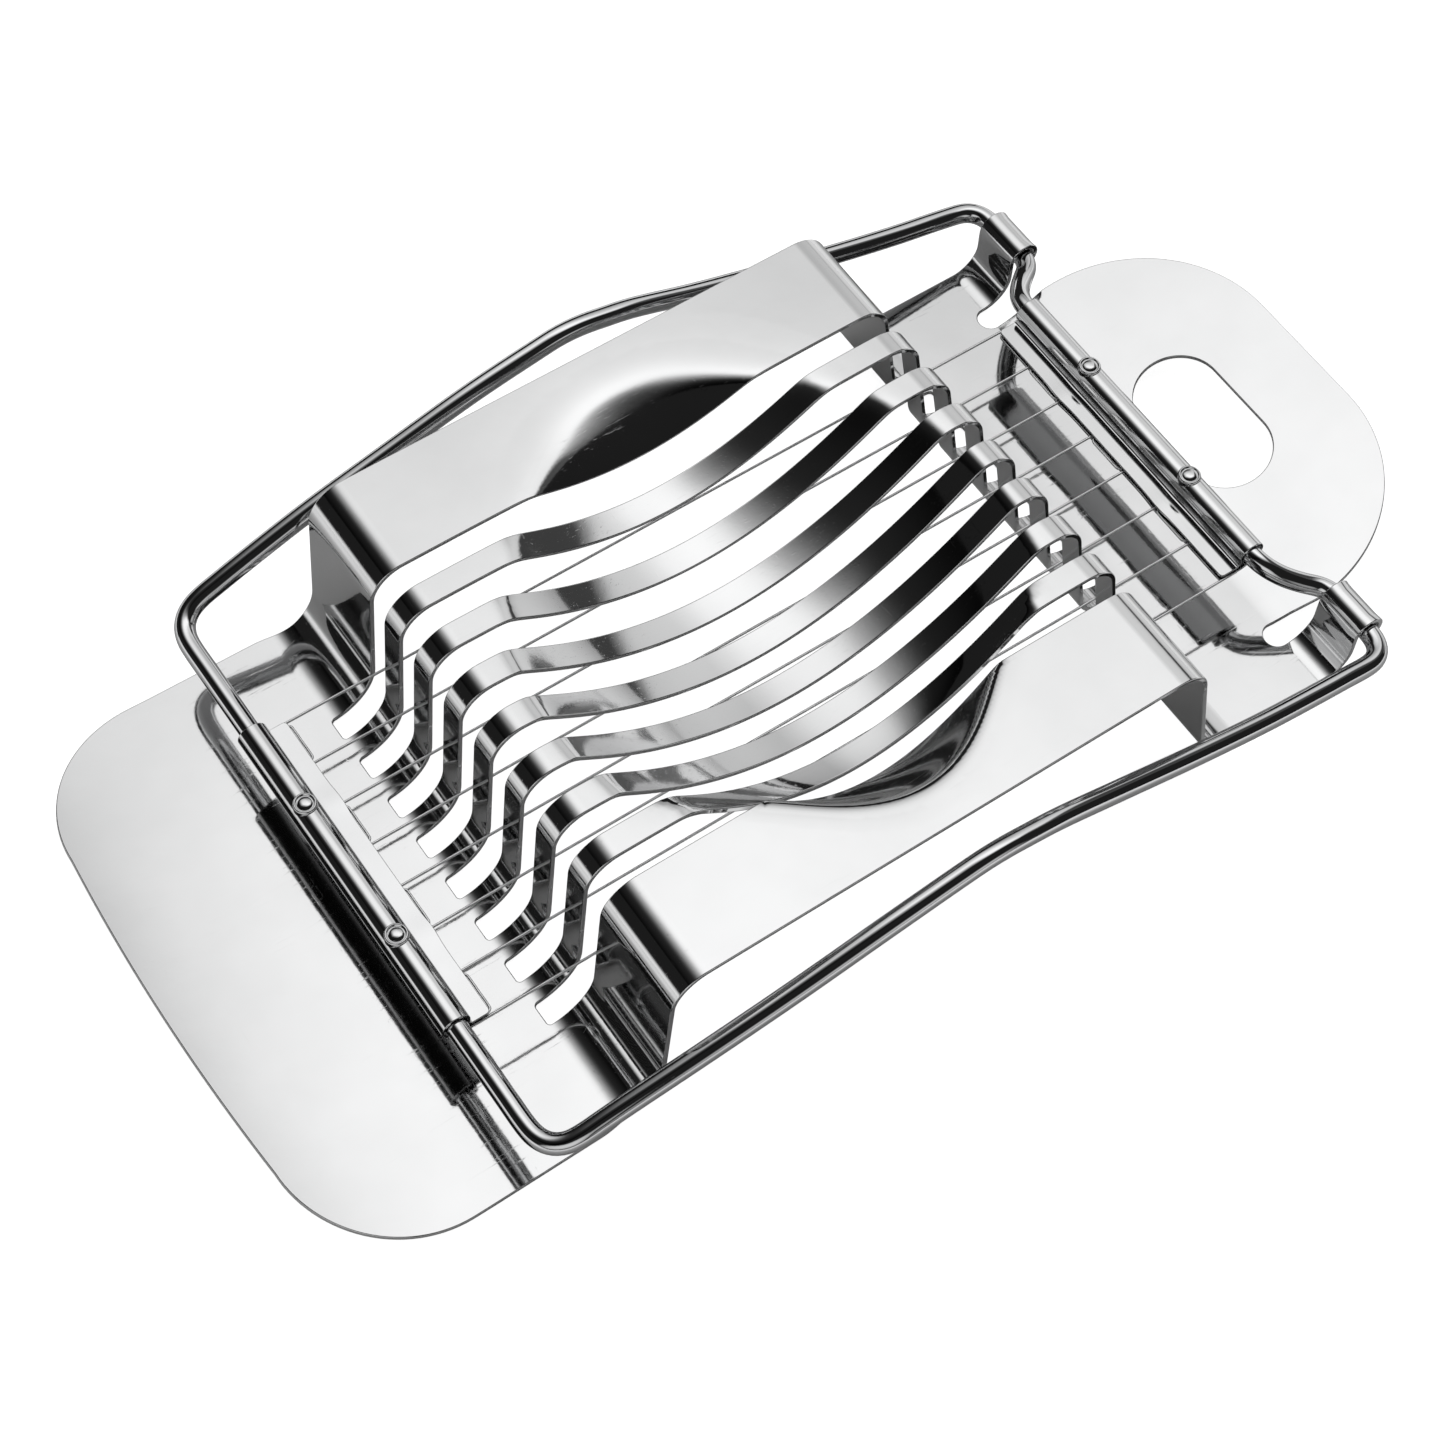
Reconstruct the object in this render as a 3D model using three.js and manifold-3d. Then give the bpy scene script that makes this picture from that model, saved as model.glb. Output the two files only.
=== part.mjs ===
// Egg slicer: a pressed sheet-steel base with an oval cradle and a hinged wire frame.
// Frame of reference: millimetres, +Z up, z = 0 on the surface it stands on.
// +X runs along the cutting wires from the thumb tab to the hinge; the origin is under the
// middle of the whole product, which is symmetric about y = 0 but for the egg-shaped cradle.
// Dimensions below count x from the middle of the bridge; the assembly is shifted at the end.
import * as THREE from 'three';
import { mergeVertices } from 'three/addons/utils/BufferGeometryUtils.js';
import Module from 'manifold-3d';

// ---- driving dimensions (mm) ----
const MIDDLE_X = 2.55;          // middle of the whole length, measured from the middle of the bridge
const SHEET = 0.6;              // base sheet thickness
const PITCH = 6.0;              // spacing of the cutting wires and slots
const WIRES = 8;
const SLOT_W = 2.95;            // slot width
const SLOT_X0 = -41.6, SLOT_X1 = 41.8;

const TAB_END = -74.3;          // thumb tab end
const TAB_BOW = -75.2;          // the end bows out to this x at y = 0
const TAB_HALF = 36.3, TAB_R = 14.6;
const TAB_BEND_X = -56.0, TAB_BEND_R = 80.0;   // thumb tab curls gently upward beyond this x

const BRIDGE_TOP = 23.1;        // top face of the bridge
const BRIDGE_HALF = 35.4;
const FOOT_R = 6.3;             // mid-sheet radius, floor to wall
const BROW_R = 4.3;             // mid-sheet radius, wall to top
const LEFT_FOOT_X = -41.9, LEFT_LEAN = 86;     // wall angle in degrees
const RIGHT_BROW_X = 29.3, RIGHT_LEAN = 80;

const FLOOR_HALF = 35.2;        // hinge-end floor
const LUG_ROOT_X = 54.35;       // where the lugs fold up and the hang tab starts
const LUG_Y0 = 28.9, LUG_Y1 = 35.2;
const HINGE_X = 59.9, HINGE_Z = 6.6;
const CURL_R = 1.78;            // mid-sheet radius of the hinge curl
const CURL_END = -70;           // degrees

const NOTCH_R = 1.55;           // relief notch between lug and hang tab
const HANG_HALF = 26.7, HANG_R = 18.7, HANG_END = 80.3, HANG_LIFT = 12, HANG_BEND_R = 15;
const HOLE_X = 65.2, HOLE_HALF = 9.9, HOLE_R = 5.3;

const ROD_R = 1.2;              // frame rod
const BAR_X = -51.6, BAR_Z = 9.45;             // handle-end cross bar
const CRANK_X = 53.97, CRANK_Z = 9.3;          // hinge-end cross bar
const CLAMP_RI = 1.36, CLAMP_RO = 1.76, CLAMP_HALF = 20.9;
const FLANGE_OUT = 4.1;         // flange edge from the rod axis
const WIRE_DROP = 1.75;         // wire plane below the rod axis
const WIRE_R = 0.2;
const RIVET_Y = 9.3, RIVET_HEAD_R = 1.35, RIVET_SHANK_R = 0.5;

const wasm = await Module();
wasm.setup();

const DEG = Math.PI / 180;

// ---- solids ----
function toSolid(geometry) {
  const g = geometry.index ? geometry.clone() : geometry.clone();
  g.deleteAttribute('normal');
  g.deleteAttribute('uv');
  const m = mergeVertices(g, 1e-4);
  return new wasm.Manifold(new wasm.Mesh({
    numProp: 3,
    vertProperties: new Float32Array(m.attributes.position.array),
    triVerts: new Uint32Array(m.index.array),
  }));
}

function toGeometry(solid) {
  const mesh = solid.getMesh();
  const g = new THREE.BufferGeometry();
  g.setAttribute('position', new THREE.BufferAttribute(new Float32Array(mesh.vertProperties), 3));
  g.setIndex(new THREE.BufferAttribute(new Uint32Array(mesh.triVerts), 1));
  g.computeVertexNormals();
  return g;
}

function prism(shape, z0, z1, segments = 10) {
  const g = new THREE.ExtrudeGeometry(shape, { depth: z1 - z0, bevelEnabled: false, curveSegments: segments });
  g.translate(0, 0, z0);
  return g;
}

function cylinderZ(r, x, y, z0, z1, sides = 14) {
  const g = new THREE.CylinderGeometry(r, r, z1 - z0, sides);
  g.rotateX(Math.PI / 2);
  g.translate(x, y, (z0 + z1) / 2);
  return g;
}

// ---- smooth tables ----
function table(rows, v) {
  const n = rows.length;
  if (v <= rows[0][0]) return rows[0][1];
  if (v >= rows[n - 1][0]) return rows[n - 1][1];
  let i = 0;
  while (v > rows[i + 1][0]) i++;
  const [x0, y0] = rows[i], [x1, y1] = rows[i + 1];
  const a = rows[Math.max(i - 1, 0)], b = rows[Math.min(i + 2, n - 1)];
  const m0 = (y1 - a[1]) / (x1 - a[0]), m1 = (b[1] - y0) / (b[0] - x0);
  const h = x1 - x0, t = (v - x0) / h;
  const t2 = t * t, t3 = t2 * t;
  return (2 * t3 - 3 * t2 + 1) * y0 + (t3 - 2 * t2 + t) * h * m0 + (-2 * t3 + 3 * t2) * y1 + (t3 - t2) * h * m1;
}

// Egg cradle: depth along its centre line and fall-off across it. The blunt end is at -Y.
const CRADLE_DEPTH = [[-36, -9], [-33, -4.4], [-30.5, -0.4], [-28.5, 2.6], [-25.5, 6.6], [-22.5, 9.6], [-19.5, 11.3], [-16.5, 12.3],
  [-13.5, 12.9], [-7.5, 13.4], [-1.5, 13.3], [4.5, 12.2], [10.5, 10.2], [16.5, 7.4], [19.5, 5.5], [22.5, 3.5], [25.5, 1.9], [28.5, 0.5], [31, -1], [36, -5]];
const CRADLE_CURVE = [[-36, 0.06], [-30, 0.058], [-26, 0.052], [-22.5, 0.042], [-19.5, 0.027], [-16.5, 0.0205], [-12, 0.0175],
  [0, 0.0158], [10, 0.0155], [16.5, 0.0165], [22.5, 0.0165], [30, 0.0165], [36, 0.0165]];
const CRADLE_RIM = 1.1;
function cradle(x, y) {
  const d = table(CRADLE_DEPTH, y) - table(CRADLE_CURVE, y) * (x - 0.3) * (x - 0.3);
  const s = 0.5 * (d + Math.sqrt(d * d + CRADLE_RIM * CRADLE_RIM));
  return d < -3 ? s * Math.max(0, 1 - (-3 - d) / 3) : s;
}

// ---- mid-sheet profile of the base, x against z ----
const zf = SHEET / 2;
const zt = BRIDGE_TOP - SHEET / 2;
const profile = [];
function put(x, z, top = false) { profile.push({ x, z, top }); }
{
  const a = Math.asin((TAB_BEND_X - (TAB_BOW - 0.6)) / TAB_BEND_R);
  for (let i = 6; i >= 1; i--) {
    const p = a * i / 6;
    put(TAB_BEND_X - TAB_BEND_R * Math.sin(p), zf + TAB_BEND_R * (1 - Math.cos(p)));
  }
  put(TAB_BEND_X, zf);
  for (let i = 0; i <= 5; i++) {
    const p = LEFT_LEAN * DEG * i / 5;
    put(LEFT_FOOT_X + FOOT_R * Math.sin(p), zf + FOOT_R * (1 - Math.cos(p)));
  }
  const last = profile[profile.length - 1];
  const zc = zt - BROW_R;
  const zw = zc + BROW_R * Math.cos(LEFT_LEAN * DEG);
  const xw = last.x + (zw - last.z) / Math.tan(LEFT_LEAN * DEG);
  const browX = xw + BROW_R * Math.sin(LEFT_LEAN * DEG);
  for (let i = 0; i <= 5; i++) {
    const p = LEFT_LEAN * DEG * (1 - i / 5);
    put(browX - BROW_R * Math.sin(p), zc + BROW_R * Math.cos(p), i === 5);
  }
  const n = 22;
  for (let i = 1; i < n; i++) put(browX + (RIGHT_BROW_X - browX) * i / n, zt, true);
  for (let i = 0; i <= 5; i++) {
    const p = RIGHT_LEAN * DEG * i / 5;
    put(RIGHT_BROW_X + BROW_R * Math.sin(p), zc + BROW_R * Math.cos(p), i === 0);
  }
  const w = profile[profile.length - 1];
  const zb = zf + FOOT_R * (1 - Math.cos(RIGHT_LEAN * DEG));
  const xb = w.x + (w.z - zb) / Math.tan(RIGHT_LEAN * DEG);
  const footX = xb + FOOT_R * Math.sin(RIGHT_LEAN * DEG);
  for (let i = 0; i <= 5; i++) {
    const p = RIGHT_LEAN * DEG * (1 - i / 5);
    put(footX - FOOT_R * Math.sin(p), zf + FOOT_R * (1 - Math.cos(p)));
  }
  for (let i = 0; i <= 2; i++) {
    const p = HANG_LIFT * DEG * i / 2;
    put(LUG_ROOT_X + HANG_BEND_R * Math.sin(p), zf + HANG_BEND_R * (1 - Math.cos(p)));
  }
  const e = profile[profile.length - 1];
  const run = HANG_END + 1 - e.x;
  put(e.x + run, e.z + run * Math.tan(HANG_LIFT * DEG));
}

// A box with its faces wrapped onto a mid-surface: stations along X, lines along Y.
function wrapSheet(stations, lines, mid) {
  const nx = stations.length - 1, ny = lines.length - 1;
  const g = new THREE.BoxGeometry(1, 1, 1, nx, ny, 1);
  g.deleteAttribute('normal');
  g.deleteAttribute('uv');
  const pos = g.attributes.position;
  const at = (i, j) => mid(stations[Math.min(Math.max(i, 0), nx)], lines[Math.min(Math.max(j, 0), ny)]);
  const du = new THREE.Vector3(), dv = new THREE.Vector3(), n = new THREE.Vector3();
  for (let k = 0; k < pos.count; k++) {
    const i = Math.round((pos.getX(k) + 0.5) * nx), j = Math.round((pos.getY(k) + 0.5) * ny);
    const side = pos.getZ(k) > 0 ? 1 : -1;
    const p = at(i, j);
    // weighted one-sided slopes keep the thickness even on uneven stations
    const a = at(i - 1, j), b = at(i + 1, j), c = at(i, j - 1), d = at(i, j + 1);
    const ua = p.clone().sub(a), ub = b.clone().sub(p);
    du.set(0, 0, 0);
    if (ua.length() > 1e-9) du.add(ua.normalize());
    if (ub.length() > 1e-9) du.add(ub.normalize());
    const va = p.clone().sub(c), vb = d.clone().sub(p);
    dv.set(0, 0, 0);
    if (va.length() > 1e-9) dv.add(va.normalize());
    if (vb.length() > 1e-9) dv.add(vb.normalize());
    n.crossVectors(du, dv).normalize();
    pos.setXYZ(k, p.x + n.x * side * SHEET / 2, p.y + n.y * side * SHEET / 2, p.z + n.z * side * SHEET / 2);
  }
  return mergeVertices(g, 1e-4);
}

// ---- base plate ----
function baseOutline() {
  const s = new THREE.Shape();
  s.moveTo(TAB_END + TAB_R, -TAB_HALF);
  s.lineTo(-44, -TAB_HALF + 0.2);
  s.quadraticCurveTo(-38, -TAB_HALF + 0.25, -35.5, -BRIDGE_HALF);
  s.lineTo(36, -BRIDGE_HALF);
  s.lineTo(42, -FLOOR_HALF);
  s.lineTo(LUG_ROOT_X, -FLOOR_HALF);
  s.lineTo(LUG_ROOT_X, -LUG_Y0);
  s.absarc(LUG_ROOT_X, -(LUG_Y0 - NOTCH_R), NOTCH_R, -Math.PI / 2, Math.PI / 2, true);
  s.lineTo(HANG_END - HANG_R, -HANG_HALF);
  s.absarc(HANG_END - HANG_R, -(HANG_HALF - HANG_R), HANG_R, -Math.PI / 2, 0, false);
  s.lineTo(HANG_END, HANG_HALF - HANG_R);
  s.absarc(HANG_END - HANG_R, HANG_HALF - HANG_R, HANG_R, 0, Math.PI / 2, false);
  s.lineTo(LUG_ROOT_X, LUG_Y0 - 2 * NOTCH_R);
  s.absarc(LUG_ROOT_X, LUG_Y0 - NOTCH_R, NOTCH_R, -Math.PI / 2, Math.PI / 2, true);
  s.lineTo(LUG_ROOT_X, FLOOR_HALF);
  s.lineTo(42, FLOOR_HALF);
  s.lineTo(36, BRIDGE_HALF);
  s.lineTo(-35.5, BRIDGE_HALF);
  s.quadraticCurveTo(-38, TAB_HALF - 0.25, -44, TAB_HALF - 0.2);
  s.lineTo(TAB_END + TAB_R, TAB_HALF);
  s.absarc(TAB_END + TAB_R, TAB_HALF - TAB_R, TAB_R, Math.PI / 2, Math.PI, false);
  s.quadraticCurveTo(2 * TAB_BOW - TAB_END, 0, TAB_END, -(TAB_HALF - TAB_R));
  s.absarc(TAB_END + TAB_R, -(TAB_HALF - TAB_R), TAB_R, Math.PI, Math.PI * 1.5, false);
  for (let k = 0; k < WIRES; k++) {
    const y = PITCH * ((WIRES - 1) / 2 - k);
    const h = new THREE.Path();
    h.moveTo(SLOT_X0, y - SLOT_W / 2);
    h.lineTo(SLOT_X0, y + SLOT_W / 2);
    h.lineTo(SLOT_X1, y + SLOT_W / 2);
    h.lineTo(SLOT_X1, y - SLOT_W / 2);
    h.closePath();
    s.holes.push(h);
  }
  const hole = new THREE.Path();
  hole.absarc(HOLE_X, HOLE_HALF - HOLE_R, HOLE_R, 0, Math.PI, false);
  hole.absarc(HOLE_X, -(HOLE_HALF - HOLE_R), HOLE_R, Math.PI, 2 * Math.PI, false);
  s.holes.push(hole);
  return s;
}

function lug(side) {
  const st = [];
  st.push([LUG_ROOT_X - 1.5, zf]);
  const r = HINGE_X - CURL_R - LUG_ROOT_X;
  for (let i = 0; i <= 4; i++) {
    const p = 90 * DEG * i / 4;
    st.push([LUG_ROOT_X + r * Math.sin(p), zf + r * (1 - Math.cos(p))]);
  }
  for (let i = 0; i <= 10; i++) {
    const p = (180 + (CURL_END - 180) * i / 10) * DEG;
    st.push([HINGE_X + CURL_R * Math.cos(p), HINGE_Z + CURL_R * Math.sin(p)]);
  }
  const ys = side > 0 ? [LUG_Y0, LUG_Y1] : [-LUG_Y1, -LUG_Y0];
  return toSolid(wrapSheet(st, ys, (q, y) => new THREE.Vector3(q[0], y, q[1])));
}

const LINES = [-36.6, -31.5, -29.5, -27.2, -24.4, -21, -15, -9, -3, 3, 9, 15, 21, 24.4, 27.2, 29.5, 31.5, 36.6];
const slab = toSolid(wrapSheet(profile, LINES, (q, y) => new THREE.Vector3(q.x, y, q.top ? q.z - cradle(q.x, y) : q.z)));
const cutter = toSolid(prism(baseOutline(), -2, 40, 6));
const base = slab.intersect(cutter).add(lug(1)).add(lug(-1));

// ---- frame rod: one bent rod whose ends meet inside the hinge clamp ----
class Route extends THREE.Curve {
  constructor(points) { super(); this.points = points; }
  getPoint(t) {
    const n = this.points.length - 1;
    const f = Math.min(Math.max(t, 0), 1) * n;
    const i = Math.min(Math.floor(f + 1e-9), n - 1);
    return this.points[i].clone().lerp(this.points[i + 1], f - i);
  }
  getPointAt(u) { return this.getPoint(u); }
  getTangentAt(u) {
    const n = this.points.length - 1;
    const i = Math.round(u * n);
    const a = this.points[Math.max(i - 1, 0)], b = this.points[Math.min(i + 1, n)], p = this.points[i];
    const t = new THREE.Vector3();
    if (i > 0) t.add(p.clone().sub(a).normalize());
    if (i < n) t.add(b.clone().sub(p).normalize());
    return t.normalize();
  }
}

function tube(points, r, sides) {
  const s = new THREE.Shape();
  for (let i = 0; i < sides; i++) {
    const p = 2 * Math.PI * i / sides;
    if (i) s.lineTo(r * Math.cos(p), r * Math.sin(p)); else s.moveTo(r, 0);
  }
  s.closePath();
  return new THREE.ExtrudeGeometry(s, { steps: points.length - 1, bevelEnabled: false, extrudePath: new Route(points) });
}

const RAIL = [[-47.6, 38.5, 10.7], [-43.3, 38.75, 12.0], [-33.3, 39.3, 14.6], [-23, 39.65, 16.9], [-11, 39.9, 19.7], [-2.7, 39.95, 21.2], [0.4, 39.97, 21.65],
  [3.3, 39.95, 21.55], [6.5, 39.88, 20.95], [9.85, 39.8, 20.2], [18.9, 39.55, 17.1], [30, 39.4, 13.6], [40.1, 39.2, 10.7], [48, 38.95, 8.8], [53, 38.8, 7.8], [56.2, 38.7, 7.1]];
function halfRod(side) {
  const pts = [[CRANK_X, 0.16, CRANK_Z], [CRANK_X, 8, CRANK_Z], [CRANK_X, 19.6, CRANK_Z]];
  const crank = new THREE.CatmullRomCurve3([[CRANK_X, 17, CRANK_Z], [CRANK_X, 20.9, CRANK_Z], [54.4, 22.7, 8.95], [55.7, 24.5, 8.1], [57.7, 26.3, 7.2], [59.3, 27.6, 6.7], [HINGE_X, 28.9, HINGE_Z], [HINGE_X, 31, HINGE_Z]].map((q) => new THREE.Vector3(...q)), false, 'centripetal');
  for (let i = 8; i <= 26; i += 2) { const q = crank.getPoint(i / 28); pts.push([q.x, q.y, q.z]); }
  pts.push([HINGE_X, 34.2, HINGE_Z], [HINGE_X, 35.2, HINGE_Z], [59.7, 36.6, 6.62], [59.0, 37.8, 6.7], [57.8, 38.5, 6.85]);
  for (let i = RAIL.length - 1; i >= 0; i--) pts.push(RAIL[i]);
  pts.push([-49.3, 38.15, 10.1], [-50.7, 37.1, 9.65], [-51.45, 35.4, 9.47], [BAR_X, 33.6, BAR_Z], [BAR_X, 21, BAR_Z], [BAR_X, 8, BAR_Z]);
  return pts.map((q) => new THREE.Vector3(q[0], q[1] * side, q[2]));
}
const rodPoints = [...halfRod(1), ...halfRod(-1).reverse()];
let bow = toSolid(tube(rodPoints, ROD_R, 8));
for (const [x, z] of [[BAR_X, BAR_Z], [CRANK_X, CRANK_Z]]) {
  for (const y of [RIVET_Y, -RIVET_Y]) bow = bow.subtract(toSolid(cylinderZ(0.72, x, y, z - 3, z + 3, 10)));
}

// ---- folded clamp: sheet wrapped round the cross bar, two plies gripping the wires ----
function clampSolid(x, z, dir) {
  const s = new THREE.Shape();
  const plies = [[-WIRE_DROP - 0.55, -WIRE_DROP - 0.2], [-WIRE_DROP + 0.25, -WIRE_DROP + 0.62]];
  const top = plies[1][1], bottom = plies[0][0];
  const a1 = Math.asin(top / CLAMP_RO);
  s.moveTo(FLANGE_OUT, bottom);
  s.lineTo(FLANGE_OUT, plies[0][1]);
  s.lineTo(1.0, plies[0][1]);
  s.lineTo(1.0, plies[1][0]);
  s.lineTo(FLANGE_OUT, plies[1][0]);
  s.lineTo(FLANGE_OUT, top);
  s.lineTo(CLAMP_RO * Math.cos(a1) + 0.25, top);
  s.absarc(0, 0, CLAMP_RO, a1 + 0.12, Math.PI * 1.18, false);
  s.lineTo(-0.55, bottom);
  s.closePath();
  const h = new THREE.Path();
  h.absarc(0, 0, CLAMP_RI, 0, Math.PI * 2, true);
  s.holes.push(h);
  const g = new THREE.ExtrudeGeometry(s, { depth: 2 * CLAMP_HALF, bevelEnabled: false, curveSegments: 14 });
  g.translate(0, 0, -CLAMP_HALF);
  // section plane (u, w) stands upright; extrusion runs along Y
  g.rotateX(Math.PI / 2);
  if (dir < 0) g.rotateZ(Math.PI);
  g.translate(x, 0, z);
  let m = toSolid(g);
  for (const y of [RIVET_Y, -RIVET_Y]) m = m.subtract(toSolid(cylinderZ(0.8, x, y, z - 4, z + 4, 12)));
  return m;
}
const handleClamp = clampSolid(BAR_X, BAR_Z, 1);
const hingeClamp = clampSolid(CRANK_X, CRANK_Z, -1);

// ---- rivets: ring-rimmed head with a domed centre, shank through clamp and rod ----
function rivet(x, y, z) {
  const t = CLAMP_RO;
  const pts = [[0, t + 0.62], [0.45, t + 0.56], [0.72, t + 0.38], [0.82, t + 0.2], [1.0, t + 0.22], [1.12, t + 0.3], [1.26, t + 0.2],
    [RIVET_HEAD_R, t - 0.1], [RIVET_HEAD_R, t - 0.75], [RIVET_SHANK_R, t - 0.75], [RIVET_SHANK_R, -3.1], [0, -3.1]]
    .map(([a, b]) => new THREE.Vector2(a, b)).reverse();
  const g = new THREE.LatheGeometry(pts, 18);
  g.rotateX(Math.PI / 2);
  g.translate(x, y, z);
  const seat = new THREE.CylinderGeometry(CLAMP_RO + 0.06, CLAMP_RO + 0.06, 8, 40);
  seat.translate(x, y, z);
  const keep = toSolid(cylinderZ(RIVET_SHANK_R + 0.02, x, y, z - 4, z + 4, 18));
  return toSolid(g).subtract(toSolid(seat).subtract(keep));
}

// ---- cutting wires ----
function strand(k) {
  const y = PITCH * ((WIRES - 1) / 2 - k);
  return tube([
    new THREE.Vector3(BAR_X + FLANGE_OUT - 2.2, y, BAR_Z - WIRE_DROP),
    new THREE.Vector3(0, y, (BAR_Z + CRANK_Z) / 2 - WIRE_DROP),
    new THREE.Vector3(CRANK_X - FLANGE_OUT + 2.2, y, CRANK_Z - WIRE_DROP)], WIRE_R, 6);
}
// end turns of the laced wire, lying along the flange edge between two strands
function turn(k, x, z) {
  const y0 = PITCH * ((WIRES - 1) / 2 - k) - 0.5, y1 = y0 - PITCH + 1.0;
  return tube([new THREE.Vector3(x, y0, z), new THREE.Vector3(x, (y0 + y1) / 2, z), new THREE.Vector3(x, y1, z)], WIRE_R, 6);
}

// ---- assembly ----
function steel(color, roughness) {
  return new THREE.MeshStandardMaterial({ color, roughness, metalness: 1 });
}
const group = new THREE.Group();
function addPiece(name, geometry, material, parent = group) {
  geometry.translate(-MIDDLE_X, 0, 0);
  const mesh = new THREE.Mesh(geometry, material);
  mesh.name = name;
  parent.add(mesh);
}

addPiece('base_plate', toGeometry(base), steel(0xe4e5e6, 0.08));
const frame = new THREE.Group();
group.add(frame);
addPiece('wire_bow', toGeometry(bow), steel(0xdcdddf, 0.08), frame);
addPiece('handle_clamp', toGeometry(handleClamp), steel(0xe0e1e2, 0.1), frame);
addPiece('hinge_clamp', toGeometry(hingeClamp), steel(0xe0e1e2, 0.1), frame);
addPiece('rivet_handle_far', toGeometry(rivet(BAR_X, RIVET_Y, BAR_Z)), steel(0xd8d9da, 0.12), frame);
addPiece('rivet_handle_near', toGeometry(rivet(BAR_X, -RIVET_Y, BAR_Z)), steel(0xd8d9da, 0.12), frame);
addPiece('rivet_hinge_far', toGeometry(rivet(CRANK_X, RIVET_Y, CRANK_Z)), steel(0xd8d9da, 0.12), frame);
addPiece('rivet_hinge_near', toGeometry(rivet(CRANK_X, -RIVET_Y, CRANK_Z)), steel(0xd8d9da, 0.12), frame);
for (let k = 0; k < WIRES; k++) addPiece(`cutting_wire_${k + 1}`, strand(k), steel(0xd0d1d2, 0.15), frame);
for (let k = 0; k < WIRES - 1; k += 2) addPiece(`wire_turn_handle_${k + 1}_${k + 2}`, turn(k, BAR_X + FLANGE_OUT + 0.35, BAR_Z - WIRE_DROP), steel(0xd0d1d2, 0.15), frame);
for (let k = 1; k < WIRES - 1; k += 2) addPiece(`wire_turn_hinge_${k + 1}_${k + 2}`, turn(k, CRANK_X - FLANGE_OUT - 0.35, CRANK_Z - WIRE_DROP), steel(0xd0d1d2, 0.15), frame);

export default group;
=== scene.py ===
# Egg slicer: polished sheet-steel base with an oval cradle and a hinged wire frame.
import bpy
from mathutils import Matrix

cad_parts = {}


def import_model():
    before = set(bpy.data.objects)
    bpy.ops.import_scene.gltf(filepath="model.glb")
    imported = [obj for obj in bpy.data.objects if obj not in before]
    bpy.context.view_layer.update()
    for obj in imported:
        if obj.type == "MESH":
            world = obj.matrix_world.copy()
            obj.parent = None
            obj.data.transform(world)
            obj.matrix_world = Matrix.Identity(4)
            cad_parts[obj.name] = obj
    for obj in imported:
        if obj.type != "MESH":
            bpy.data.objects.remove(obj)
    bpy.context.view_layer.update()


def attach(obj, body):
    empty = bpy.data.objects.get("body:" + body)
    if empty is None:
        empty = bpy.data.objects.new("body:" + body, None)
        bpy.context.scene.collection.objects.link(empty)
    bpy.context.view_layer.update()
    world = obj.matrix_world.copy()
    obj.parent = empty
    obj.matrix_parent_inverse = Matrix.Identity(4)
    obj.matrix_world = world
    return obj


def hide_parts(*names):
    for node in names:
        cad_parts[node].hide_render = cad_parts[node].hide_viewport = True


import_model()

import math
import bpy
import numpy as np
from mathutils import Matrix, Vector
from mathutils.geometry import delaunay_2d_cdt
from mathutils.kdtree import KDTree

MM = 0.001
MIDDLE_X = 2.55          # the plan below counts x from the middle of the bridge
DEG = math.pi / 180

# ------------------------------------------------------------------ dimensions (mm)
SHEET = 0.6
PITCH = 6.0
WIRES = 8
SLOT_W = 2.95
SLOT_X0, SLOT_X1 = -41.6, 41.8
TAB_END, TAB_BOW = -74.3, -75.2
TAB_HALF, TAB_R = 36.3, 14.6
TAB_BEND_X, TAB_BEND_R = -56.0, 80.0
BRIDGE_TOP, BRIDGE_HALF = 23.1, 35.4
FOOT_R, BROW_R = 6.3, 4.3
LEFT_FOOT_X, LEFT_LEAN = -41.9, 86 * DEG
RIGHT_BROW_X, RIGHT_LEAN = 29.3, 80 * DEG
FLOOR_HALF = 35.2
LUG_ROOT_X, LUG_Y0, LUG_Y1 = 54.35, 28.9, 35.2
HINGE_X, HINGE_Z, CURL_R, CURL_TURN = 59.9, 6.6, 1.78, 250 * DEG
NOTCH_R = 1.55
HANG_HALF, HANG_R, HANG_END, HANG_LIFT, HANG_BEND_R = 26.7, 18.7, 80.3, 12 * DEG, 15.0
HOLE_X, HOLE_HALF, HOLE_R = 65.2, 9.9, 5.3
ROD_R = 1.2
BAR_X, BAR_Z = -51.6, 9.45
CRANK_X, CRANK_Z = 53.97, 9.3
CLAMP_R, CLAMP_T, CLAMP_HALF, FLANGE_OUT = 1.56, 0.38, 20.9, 4.1
WIRE_DROP, WIRE_R = 1.75, 0.155
RIVET_Y = 9.3


# ------------------------------------------------------------------ mesh helpers
def world(p):
    q = np.array(p, float).reshape(-1, 3) * MM
    q[:, 0] -= MIDDLE_X * MM
    return q


def make_piece(name, verts, faces, normals, body, nodes, material):
    """verts in plan millimetres; normals per vertex; rides on its body and stands for its CAD nodes."""
    me = bpy.data.meshes.new(name)
    me.from_pydata(world(verts).tolist(), [], faces)
    me.validate()
    me.polygons.foreach_set("use_smooth", [True] * len(me.polygons))
    n = np.array(normals, float)
    n /= np.maximum(np.linalg.norm(n, axis=1, keepdims=True), 1e-12)
    me.normals_split_custom_set_from_vertices(n.tolist())
    me.update()
    ob = bpy.data.objects.new(name, me)
    bpy.context.scene.collection.objects.link(ob)
    me.materials.append(material)
    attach(ob, body)
    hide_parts(*nodes)
    return ob


def unit(v):
    return v / np.maximum(np.linalg.norm(v, axis=-1, keepdims=True), 1e-12)


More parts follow.
